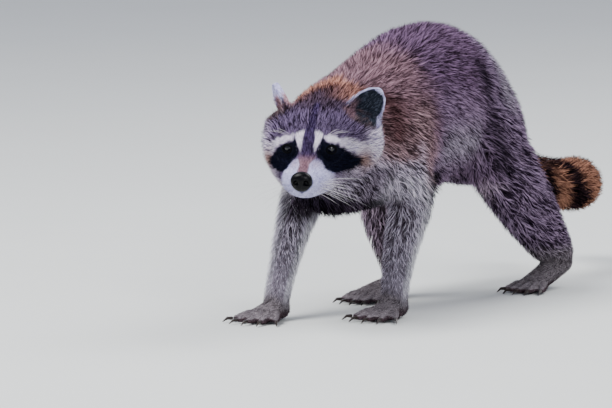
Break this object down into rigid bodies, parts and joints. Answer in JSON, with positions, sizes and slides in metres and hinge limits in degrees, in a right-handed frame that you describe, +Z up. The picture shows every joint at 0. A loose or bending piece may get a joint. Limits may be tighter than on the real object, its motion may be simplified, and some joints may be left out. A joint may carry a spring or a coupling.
{
  "type": "raccoon",
  "caption": "Life-size raccoon as a still model, walking with its head low and turned to its left, back humped and tail hooked to its right.",
  "frame": {"origin": "middle of the bounding box, on the floor under the feet", "axes": "+Z up, the raccoon walks towards -Y and its left side faces +X"},
  "size_m": [0.1831, 0.738, 0.2978],
  "materials": {
    "coat": "grizzled brown-grey fur",
    "face_fur": "short grizzled grey fur with a black mask and white brow and muzzle",
    "tail_fur": "long fur, banded tan and blackish brown",
    "ear": "short fur, pale rim and dark hollow",
    "paw": "very short grey fur over dark soles",
    "claw": "dark horn",
    "nose": "moist black",
    "eye": "wet, almost black"
  },
  "bodies": {
    "root": {"head": "face_fur", "muzzle": "face_fur", "jaw": "face_fur", "nose": "nose", "eye_left": "eye", "eye_right": "eye", "ear_left": "ear", "ear_right": "ear", "neck": "coat", "trunk": "coat", "foreleg_left": "coat", "forepaw_left": "paw", "forepaw_left_claw_1": "claw", "forepaw_left_claw_2": "claw", "forepaw_left_claw_3": "claw", "forepaw_left_claw_4": "claw", "forepaw_left_claw_5": "claw", "foreleg_right": "coat", "forepaw_right": "paw", "forepaw_right_claw_1": "claw", "forepaw_right_claw_2": "claw", "forepaw_right_claw_3": "claw", "forepaw_right_claw_4": "claw", "forepaw_right_claw_5": "claw", "hindleg_left": "coat", "hindpaw_left": "paw", "hindpaw_left_claw_1": "claw", "hindpaw_left_claw_2": "claw", "hindpaw_left_claw_3": "claw", "hindpaw_left_claw_4": "claw", "hindpaw_left_claw_5": "claw", "hindleg_right": "coat", "hindpaw_right": "paw", "hindpaw_right_claw_1": "claw", "hindpaw_right_claw_2": "claw", "hindpaw_right_claw_3": "claw", "hindpaw_right_claw_4": "claw", "hindpaw_right_claw_5": "claw", "tail_root": "tail_fur", "tail_middle": "tail_fur", "tail_tip": "tail_fur"}
  },
  "joints": []
}
